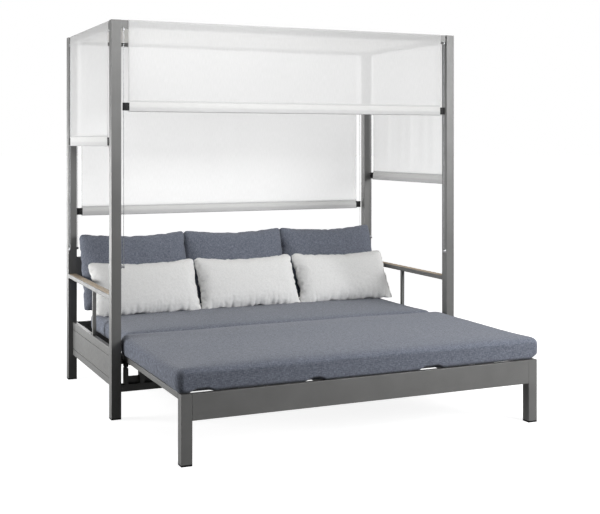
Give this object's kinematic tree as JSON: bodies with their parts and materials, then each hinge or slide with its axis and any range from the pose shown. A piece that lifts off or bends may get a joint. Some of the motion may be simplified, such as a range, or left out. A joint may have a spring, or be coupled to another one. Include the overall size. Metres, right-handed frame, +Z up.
{
  "type": "outdoor daybed",
  "caption": "Outdoor daybed with a post-and-beam canopy, side blinds on guide wires, a slatted base, a pull-out bench shown pulled out, and loose cushions.",
  "frame": {"origin": "middle of the bounding box's base, on the floor, with the bench pulled out", "axes": "+X to the right as seen from the front, +Y to the back, +Z up"},
  "size_m": [2.1, 2.044, 2.1],
  "materials": {
    "coated_frame": "satin charcoal powder coat",
    "black_plastic": "matt",
    "steel_wire": "stainless",
    "roller_tube": "mill finish",
    "wood_inlay": "pale oiled",
    "canopy_cloth": "translucent off-white weave",
    "cushion_cloth": "slate blue melange weave",
    "pillow_cloth": "light grey weave"
  },
  "bodies": {
    "frame": {"post_fl": "coated_frame", "post_fr": "coated_frame", "post_bl": "coated_frame", "post_br": "coated_frame", "post_foot_fl": "black_plastic", "post_foot_fr": "black_plastic", "post_foot_bl": "black_plastic", "post_foot_br": "black_plastic", "beam_front": "coated_frame", "beam_back": "coated_frame", "beam_left": "coated_frame", "beam_right": "coated_frame", "blind_front": "canopy_cloth", "blind_back": "canopy_cloth", "blind_left": "canopy_cloth", "blind_right": "canopy_cloth", "wire_front_1": "steel_wire", "wire_front_2": "steel_wire", "wire_back_1": "steel_wire", "wire_back_2": "steel_wire", "wire_left_1": "steel_wire", "wire_left_2": "steel_wire", "wire_right_1": "steel_wire", "wire_right_2": "steel_wire", "roof_cloth": "canopy_cloth", "side_apron_l": "coated_frame", "side_apron_r": "coated_frame", "back_apron": "coated_frame", "back_rail": "coated_frame", "armrest_l": "coated_frame", "armrest_r": "coated_frame", "arm_inlay_l": "wood_inlay", "arm_inlay_r": "wood_inlay", "front_frame": "coated_frame", "seat_deck": "coated_frame", "seat_cushion_rear": "cushion_cloth", "back_cushion_1": "cushion_cloth", "back_cushion_2": "cushion_cloth", "back_cushion_3": "cushion_cloth", "pillow_1": "pillow_cloth", "pillow_2": "pillow_cloth", "pillow_3": "pillow_cloth"},
    "bench": {"bench_apron": "coated_frame", "bench_deck": "coated_frame", "bench_leg_l": "coated_frame", "bench_leg_r": "coated_frame", "bench_foot_l": "black_plastic", "bench_foot_r": "black_plastic"},
    "front_cushion": {"seat_cushion_front": "cushion_cloth"},
    "guide_wheel_l": {"guide_roller_l": "black_plastic"},
    "guide_wheel_r": {"guide_roller_r": "black_plastic"},
    "bottom_bar_front": {"bar_front": "canopy_cloth"},
    "roller_tube_front": {"roller_front": "roller_tube"},
    "bottom_bar_back": {"bar_back": "canopy_cloth"},
    "roller_tube_back": {"roller_back": "roller_tube"},
    "bottom_bar_left": {"bar_left": "canopy_cloth"},
    "roller_tube_left": {"roller_left": "roller_tube"},
    "bottom_bar_right": {"bar_right": "canopy_cloth"},
    "roller_tube_right": {"roller_right": "roller_tube"}
  },
  "joints": [
    {"name": "bench_slide", "type": "slide", "parent": "frame", "child": "bench", "axis": [0, 1, 0], "range_m": [0, 0.905]},
    {"name": "front_cushion_fold", "type": "hinge", "parent": "frame", "child": "front_cushion", "pos_m": [0, -0.01, 0.441], "axis": [-1, 0, 0], "range_deg": [0, 140]},
    {"name": "guide_wheel_l_spin", "type": "hinge", "parent": "frame", "child": "guide_wheel_l", "pos_m": [-0.953, -0.014, 0.2757], "axis": [-1, 0, 0], "range_deg": [-10, 2620]},
    {"name": "guide_wheel_r_spin", "type": "hinge", "parent": "frame", "child": "guide_wheel_r", "pos_m": [0.953, -0.014, 0.2757], "axis": [-1, 0, 0], "range_deg": [-10, 2620]},
    {"name": "blind_front_height", "type": "slide", "parent": "frame", "child": "bottom_bar_front", "axis": [0, 0, 1], "range_m": [-0.767, 0.374], "deforming": ["blind_front"]},
    {"name": "roller_front_spin", "type": "hinge", "parent": "frame", "child": "roller_tube_front", "pos_m": [0, -0.063, 2.079], "axis": [1, 0, 0], "range_deg": [-1536, 3144]},
    {"name": "blind_back_height", "type": "slide", "parent": "frame", "child": "bottom_bar_back", "axis": [0, 0, 1], "range_m": [-0.151, 0.919], "deforming": ["blind_back"]},
    {"name": "roller_back_spin", "type": "hinge", "parent": "frame", "child": "roller_tube_back", "pos_m": [0, 0.993, 2.079], "axis": [1, 0, 0], "range_deg": [-623, 3766]},
    {"name": "blind_left_height", "type": "slide", "parent": "frame", "child": "bottom_bar_left", "axis": [0, 0, 1], "range_m": [-0.584, 0.536], "deforming": ["blind_left"]},
    {"name": "roller_left_spin", "type": "hinge", "parent": "frame", "child": "roller_tube_left", "pos_m": [-1.021, 0.465, 2.079], "axis": [0, 1, 0], "range_deg": [-2395, 2199]},
    {"name": "blind_right_height", "type": "slide", "parent": "frame", "child": "bottom_bar_right", "axis": [0, 0, 1], "range_m": [-0.351, 0.742], "deforming": ["blind_right"]},
    {"name": "roller_right_spin", "type": "hinge", "parent": "frame", "child": "roller_tube_right", "pos_m": [1.021, 0.465, 2.079], "axis": [0, 1, 0], "range_deg": [-3042, 1441]}
  ],
  "couplings": [
    {"joint": "front_cushion_fold", "follows": "bench_slide", "rad_per_m": 2.69},
    {"joint": "guide_wheel_l_spin", "follows": "bench_slide", "rad_per_m": 50},
    {"joint": "guide_wheel_r_spin", "follows": "bench_slide", "rad_per_m": 50},
    {"joint": "roller_front_spin", "follows": "blind_front_height", "rad_per_m": -71.429},
    {"joint": "roller_back_spin", "follows": "blind_back_height", "rad_per_m": 71.429},
    {"joint": "roller_left_spin", "follows": "blind_left_height", "rad_per_m": 71.429},
    {"joint": "roller_right_spin", "follows": "blind_right_height", "rad_per_m": -71.429}
  ]
}
